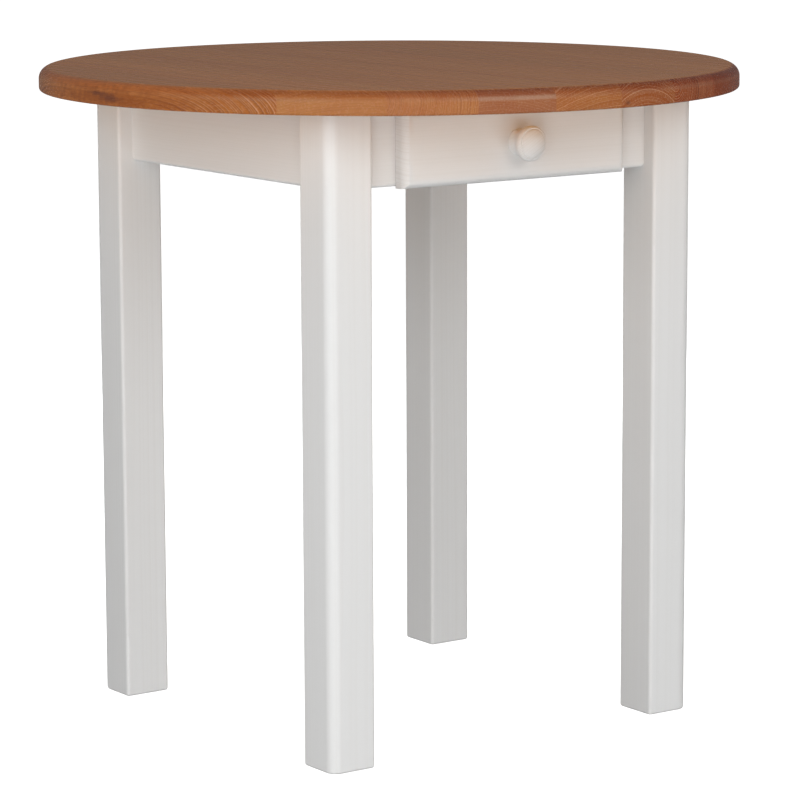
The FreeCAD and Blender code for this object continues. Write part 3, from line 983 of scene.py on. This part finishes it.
    def brace(self, corner: Corner) -> None:
        """Dresses the block across the inside of two aprons, and adds its screws.

        Args:
            corner: where the block is.
        """
        node = f"corner_brace_{corner.label}"
        low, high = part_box(node)
        side_x, side_y = corner.value
        out_x, out_y, up = self.brace_pith
        place = centre(node)
        pith = tuple(place + Vector((side_x * out_x, side_y * out_y, up)))
        dress(node, BareFinish(f"bare_{node}", Timber(Grain.ALONG_X, pith, self.brace_ring)).build())
        inward = Vector((-side_x, -side_y, 0)).normalized()
        run = Vector((side_x, -side_y, 0)) * (high.x - low.x) / 2
        heads = bmesh.new()
        for share in self.brace_screws:
            self.screw.add(heads, place + run * share, inward)
        publish(f"brace_screws_{corner.label}", heads, self.steel, Slot.STEEL, Body.FRAME)

    def dowels(self, corner: Corner) -> None:
        """Dresses the dowels that pin two aprons to a leg.

        Args:
            corner: where the leg stands.
        """
        for axis, grain in (("x", Grain.ALONG_X), ("y", Grain.ALONG_Y)):
            for level in ("lower", "upper"):
                node = f"dowel_{corner.label}_{axis}_{level}"
                pith = tuple(centre(node) + Vector(self.dowel_pith))
                timber = Timber(grain, pith, self.dowel_ring)
                dress(node, BareFinish(f"beech_{node}", timber, self.beech_early, self.beech_late).build())

    def strips(self, hand: str) -> None:
        """The runner, guide and kicker on one side, and the screws under the runner.

        Args:
            hand: the side of the drawer that they are on.
        """
        for kind in ("runner", "guide", "kicker"):
            node = f"{kind}_{hand}"
            bm = block(*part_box(node))
            long_edges = [edge for edge in bm.edges if along(edge).y > STRAIGHT]
            round_over(bm, long_edges, self.strip_ease, self.ease_steps)
            pith = tuple(centre(node) + Vector(self.strip_pith))
            finish = BareFinish(f"bare_{node}", Timber(Grain.ALONG_Y, pith, self.strip_ring)).build()
            publish(f"planed_{node}", bm, finish, Slot.BARE, Body.FRAME, node)
        low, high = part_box(f"runner_{hand}")
        heads = bmesh.new()
        for share in self.runner_screws:
            place = Vector(((low.x + high.x) / 2, low.y + share * (high.y - low.y), low.z))
            self.screw.add(heads, place, Vector((0, 0, -1)))
        publish(f"runner_screws_{hand}", heads, self.steel, Slot.STEEL, Body.FRAME)


@dataclass
class Turning:
    """A profile for the lathe: radius along X, length along Z."""

    bm: BMesh
    tip: BMVert

    @classmethod
    def start(cls, radius: float, length: float) -> "Turning":
        """Begins a profile at a point."""
        bm = bmesh.new()
        return cls(bm, bm.verts.new((radius, 0, length)))

    def line(self, radius: float, length: float) -> None:
        """Runs straight to a point.

        Args:
            radius: the point's radius.
            length: the point's length.
        """
        made = bmesh.ops.extrude_vert_indiv(self.bm, verts=[self.tip])
        self.tip = made["verts"][0]
        self.tip.co = (radius, 0, length)

    def arc(self, radius: float, length: float, angle: float, steps: int) -> None:
        """Runs round a centre.

        Args:
            radius: the centre's radius.
            length: the centre's length.
            angle: how far round, positive from X towards Z.
            steps: how many segments.
        """
        made = bmesh.ops.spin(
            self.bm, geom=[self.tip], cent=(radius, 0, length), axis=(0, -1, 0), angle=angle, steps=steps
        )
        self.tip = next(item for item in made["geom_last"] if isinstance(item, BMVert))

    def turn(self, steps: int) -> BMesh:
        """Spins the profile into a closed form.

        Args:
            steps: how many segments there are all round.

        Returns:
            The mesh.
        """
        bmesh.ops.spin(
            self.bm,
            geom=[*self.bm.verts, *self.bm.edges],
            cent=(0, 0, 0),
            axis=(0, 0, 1),
            angle=2 * math.pi,
            steps=steps,
            use_merge=True,
        )
        bmesh.ops.remove_doubles(self.bm, verts=self.bm.verts, dist=0.01 * MM)
        return self.bm


@dataclass(frozen=True)
class Knob:
    """The turned knob: a base, a neck with a cove on each side, a bulging rim and a grooved dome.

    Rim depth is from the dome's tip to the rim's middle, and rim front the radius that leads from there
    to the dome.
    """

    base_radius: float = 14.5 * MM
    base_thick: float = 2 * MM
    neck_radius: float = 12.5 * MM
    rim_radius: float = 18 * MM
    rim_bulge: float = 1.5 * MM
    rim_thick: float = 10 * MM
    rim_depth: float = 10.5 * MM
    rim_front: float = 5.2 * MM
    rim_turn: float = math.radians(50)
    dome_radius: float = 27.1 * MM
    groove: float = 1.8 * MM
    groove_radius: float = 16.2 * MM
    short_steps: int = 8
    long_steps: int = 10
    dome_steps: int = 12
    turn_steps: int = 64
    pith: Pair = (0.03, -0.05)
    ring: float = 2.6 * MM
    roughness: Pair = (0.44, 0.56)

    def build(self) -> None:
        """Turns the knob, sets it on the drawer and lacquers it."""
        node = "knob"
        low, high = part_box(node)
        place = centre(node)
        bm = self.profile(high.y - low.y).turn(self.turn_steps)
        seat = Matrix.Translation((place.x, high.y, place.z)) @ Matrix.Rotation(QUARTER_TURN, 4, "X")
        bmesh.ops.transform(bm, matrix=seat, verts=bm.verts)
        out_x, up = self.pith
        timber = Timber(Grain.ALONG_Y, (place.x + out_x, 0.0, place.z + up), self.ring)
        finish = LacquerFinish(f"lacquer_{node}", timber, self.roughness).build()
        publish(f"lacquered_{node}", bm, finish, Slot.LACQUER, Body.DRAWER, node)

    def profile(self, length: float) -> Turning:
        """Draws the knob's outline from the middle of its base to the tip of its dome.

        Args:
            length: the knob's length.

        Returns:
            The profile.
        """
        rim_middle = length - self.rim_depth
        waist = (self.base_thick + rim_middle - self.rim_thick / 2) / 2
        rise = waist - self.base_thick
        cove, throat = self.base_radius - self.neck_radius, self.rim_radius - self.neck_radius
        cove_radius = (cove**2 + rise**2) / (2 * cove)
        throat_radius = (throat**2 + rise**2) / (2 * throat)
        bead_radius = (self.rim_bulge**2 + self.rim_thick**2 / 4) / (2 * self.rim_bulge)
        bead_angle = math.asin(self.rim_thick / 2 / bead_radius)
        outermost = self.rim_radius + self.rim_bulge
        shape = Turning.start(0.0, 0.0)
        shape.line(self.base_radius, 0.0)
        shape.line(self.base_radius, self.base_thick)
        cove_centre, throat_centre = self.neck_radius + cove_radius, self.neck_radius + throat_radius
        shape.arc(cove_centre, waist, -math.asin(rise / cove_radius), self.short_steps)
        shape.arc(throat_centre, waist, -math.asin(rise / throat_radius), self.long_steps)
        shape.arc(outermost - bead_radius, rim_middle, bead_angle, self.short_steps)
        shape.arc(outermost - self.rim_front, rim_middle, self.rim_turn, self.long_steps)
        dome_centre, half = length - self.dome_radius, self.groove / 2
        for step, depth in ((half, 0.0), (0.0, half), (-half, 0.0)):
            radius = self.groove_radius + step
            shape.line(radius, dome_centre + math.sqrt(self.dome_radius**2 - radius**2) - depth)
        shape.arc(0.0, dome_centre, math.asin(radius / self.dome_radius), self.dome_steps)
        return shape


@dataclass
class Drawer:
    """The drawer: overlay front, knob and box.

    The front's pith is given behind its back and above its lower edge, and the box's from each piece's
    middle.
    """

    steel: Material
    screw: ScrewHead = ScrewHead()
    knob: Knob = Knob()
    face_round: float = 11 * MM
    face_steps: int = 10
    front_pith: Pair = (0.012, -0.16)
    front_ring: float = 3.1 * MM
    front_wander: float = 4 * MM
    box_pith: Triple = (0.025, 0.02, -0.14)
    box_ring: float = 3.6 * MM
    box_wander: float = 6 * MM
    screw_reach: float = 70 * MM

    def build(self) -> None:
        """Builds and dresses the drawer."""
        self.front()
        self.knob.build()
        self.box()

    def front(self) -> None:
        """The overlay front, rounded all round its face."""
        node = "drawer_front"
        low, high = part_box(node)
        bm = block(low, high)
        rim = [edge for edge in bm.edges if middle(edge).y < low.y + MM]
        round_over(bm, rim, self.face_round, self.face_steps)
        behind, up = self.front_pith
        pith = (0.0, high.y + behind, low.z + up)
        timber = Timber(Grain.ALONG_X, pith, self.front_ring, self.front_wander)
        finish = LacquerFinish(f"lacquer_{node}", timber).build()
        publish(f"lacquered_{node}", bm, finish, Slot.LACQUER, Body.DRAWER, node)

    def box(self) -> None:
        """Dresses the drawer's box and adds the screws that hold its front."""
        for node, grain in (
            ("drawer_inner_front", Grain.ALONG_X),
            ("drawer_back", Grain.ALONG_X),
            ("drawer_side_left", Grain.ALONG_Y),
            ("drawer_side_right", Grain.ALONG_Y),
            ("drawer_bottom", Grain.ALONG_Y),
        ):
            pith = tuple(centre(node) + Vector(self.box_pith))
            timber = Timber(grain, pith, self.box_ring, self.box_wander)
            dress(node, BareFinish(f"bare_{node}", timber).build())
        dress("knob_screw", self.steel)
        low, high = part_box("drawer_inner_front")
        heads = bmesh.new()
        for side in (-1, 1):
            place = Vector((side * self.screw_reach, high.y, (low.z + high.z) / 2))
            self.screw.add(heads, place, Vector((0, 1, 0)))
        publish("front_screws", heads, self.steel, Slot.STEEL, Body.DRAWER)


def hang(lamp: Light, place: Vector, turn: Euler) -> None:
    """Hangs a light that is itself neither seen nor mirrored.

    Args:
        lamp: the light.
        place: where it hangs.
        turn: the way that it looks.
    """
    holder = bpy.data.objects.new(lamp.name, lamp)
    holder.location = place
    holder.rotation_euler = turn
    holder.visible_camera = False
    holder.visible_glossy = False
    bpy.context.scene.collection.objects.link(holder)
    log.info("%s: %.2f W", lamp.name, lamp.energy)


@dataclass(frozen=True)
class Softbox:
    """A square soft light that stands round the table and faces it."""

    name: str
    azimuth: float
    distance: float
    height: float
    size: float
    power: float

    def build(self, aim: Vector) -> None:
        """Hangs the light and turns it to a point.

        Args:
            aim: the point.
        """
        lamp = bpy.data.lights.new(self.name, "AREA")
        lamp.shape = "SQUARE"
        lamp.size = self.size
        lamp.energy = self.power
        angle = math.radians(self.azimuth)
        place = Vector((math.sin(angle) * self.distance, -math.cos(angle) * self.distance, self.height))
        hang(lamp, place, (aim - place).to_track_quat("-Z", "Y").to_euler())


@dataclass
class Studio:
    """The floor, lights and camera.

    Softboxes below the floor light the table from beneath, since the floor holds back no light. Bounce is
    the light that the top's underside throws back, and its reach a share of the top's radius.
    """

    floor_size: float = 20.0
    floor_colour: Colour = (0.8, 0.8, 0.8)
    floor_roughness: float = 0.9
    floor_glow: float = 1.0
    room_front: float = 0.088
    room_back: float = 0.155
    bounce_size: Pair = (0.5, 0.12)
    bounce_power: float = 0.05
    bounce_tint: Colour = (1.0, 0.51, 0.0)
    bounce_reach: float = 0.81
    bounce_gap: float = 0.5 * MM
    camera_place: Triple = (-2.36555, -3.37206, 1.04956)
    camera_aim: Triple = (0.568474, 0.805792, -0.165944)
    camera_roll: float = -0.22
    camera_far: float = 100.0
    film_width: float = 36.0
    lens: float = 161.5
    light_aim: Triple = (0.0, 0.0, 0.42)
    softboxes: tuple[Softbox, ...] = (
        Softbox("left_high", -50.0, 2.4, 1.7, 1.2, 4.9),
        Softbox("left_level", -50.0, 2.4, 0.75, 1.2, 5.6),
        Softbox("side_high", -75.0, 2.4, 1.3, 1.2, 13.6),
        Softbox("side_low", -80.0, 1.6, 0.35, 0.8, 1.9),
        Softbox("middle_high", 0.0, 2.4, 1.7, 1.2, 13.4),
        Softbox("middle_level", 5.0, 2.4, 1.35, 1.2, 5.2),
        Softbox("middle_low", -35.0, 2.4, 0.2, 1.2, 3.9),
        Softbox("right_level", 60.0, 2.4, 1.3, 1.2, 3.8),
        Softbox("overhead", 20.0, 0.6, 3.2, 2.0, 4.0),
        Softbox("rear_right", 120.0, 2.6, 0.8, 1.2, 23.0),
        Softbox("rear_middle", 175.0, 2.6, 0.8, 1.2, 24.0),
        Softbox("floor_left", -35.0, 2.4, -0.6, 1.4, 12.0),
        Softbox("floor_side", -105.0, 2.4, -0.6, 1.4, 5.7),
        Softbox("floor_front", 25.0, 2.4, -0.6, 1.4, 9.0),
        Softbox("floor_far", 0.0, 5.0, -1.4, 2.5, 25.1),
    )

    def build(self) -> None:
        """Sets the studio up."""
        self.floor()
        self.room()
        for softbox in self.softboxes:
            softbox.build(Vector(self.light_aim))
        self.bounce()
        self.camera()

    def bounce(self) -> None:
        """The warm light from the top's underside on the four sides of the frame."""
        low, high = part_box("top_board_5")
        reach = self.bounce_reach * (high.y - low.y) / 2
        for number in range(4):
            lamp = bpy.data.lights.new(f"bounce_{number}", "AREA")
            lamp.shape = "RECTANGLE"
            lamp.size, lamp.size_y = self.bounce_size
            lamp.energy = self.bounce_power
            lamp.color = self.bounce_tint
            turn = Matrix.Rotation(number * QUARTER_TURN, 4, "Z")
            hang(lamp, turn @ Vector((0.0, reach, low.z - self.bounce_gap)), turn.to_euler())

    def floor(self) -> None:
        """A plain pale floor that is clear from below."""
        recipe = Recipe.material("floor_paint")
        shader = recipe.node("BsdfPrincipled", {
            "Base Color": (*self.floor_colour, 1.0),
            "Roughness": self.floor_roughness,
            "Specular IOR Level": 0.0,
            "Emission Color": WHITE,
            "Emission Strength": self.floor_glow,
        })
        below = recipe.node("NewGeometry", {}).outputs["Backfacing"]
        clear = recipe.node("BsdfTransparent", {})
        shown = recipe.node("MixShader", {0: below, 1: shader.outputs[0], 2: clear.outputs[0]})
        recipe.node("OutputMaterial", {"Surface": shown.outputs[0]})
        bm = bmesh.new()
        bmesh.ops.create_grid(bm, x_segments=1, y_segments=1, size=self.floor_size)
        mesh = bpy.data.meshes.new("floor")
        bm.to_mesh(mesh)
        bm.free()
        mesh.materials.append(recipe.owner)
        floor = bpy.data.objects.new("floor", mesh)
        floor.visible_diffuse = False
        floor.visible_glossy = False
        floor.visible_shadow = False
        bpy.context.scene.collection.objects.link(floor)

    def room(self) -> None:
        """White to the camera, and a soft light on the table that is weaker from the front."""
        world = bpy.data.worlds.new("room")
        bpy.context.scene.world = world
        recipe = Recipe(world)
        towards = Vector((*self.camera_place[:2], 0.0))
        place = recipe.node("TexCoord", {}).outputs["Generated"]
        share = recipe.node("MapRange", {
            "Value": recipe.vector("DOT_PRODUCT", place, tuple(towards)).outputs["Value"],
            "From Min": -towards.length,
            "From Max": towards.length,
            "To Min": self.room_back,
            "To Max": self.room_front,
        })
        glow = recipe.node("Background", {"Color": WHITE, "Strength": share.outputs[0]})
        white = recipe.node("Background", {"Color": WHITE})
        seen = recipe.node("LightPath", {}).outputs["Is Camera Ray"]
        mixed = recipe.node("MixShader", {0: seen, 1: glow.outputs[0], 2: white.outputs[0]})
        recipe.node("OutputWorld", {"Surface": mixed.outputs[0]})

    def camera(self) -> None:
        """The photograph's point of view."""
        data = bpy.data.cameras.new("camera")
        data.sensor_width = self.film_width
        data.lens = self.lens
        data.dof.use_dof = False
        data.clip_end = self.camera_far
        holder = bpy.data.objects.new("camera", data)
        holder.location = self.camera_place
        roll = Quaternion((0, 0, 1), math.radians(self.camera_roll))
        holder.rotation_euler = (Vector(self.camera_aim).to_track_quat("-Z", "Y") @ roll).to_euler()
        bpy.context.scene.collection.objects.link(holder)
        bpy.context.scene.camera = holder
        bpy.context.scene.view_settings.view_transform = "Standard"


def main() -> None:
    """Builds the table and its studio, and logs each piece and light."""
    logging.basicConfig(level=logging.INFO, format="%(message)s")
    steel = SteelFinish("zinc_plate").build()
    for part in (Tabletop(), TableFrame(steel), Drawer(steel), Studio()):
        part.build()


if __name__ == "__main__":
    main()
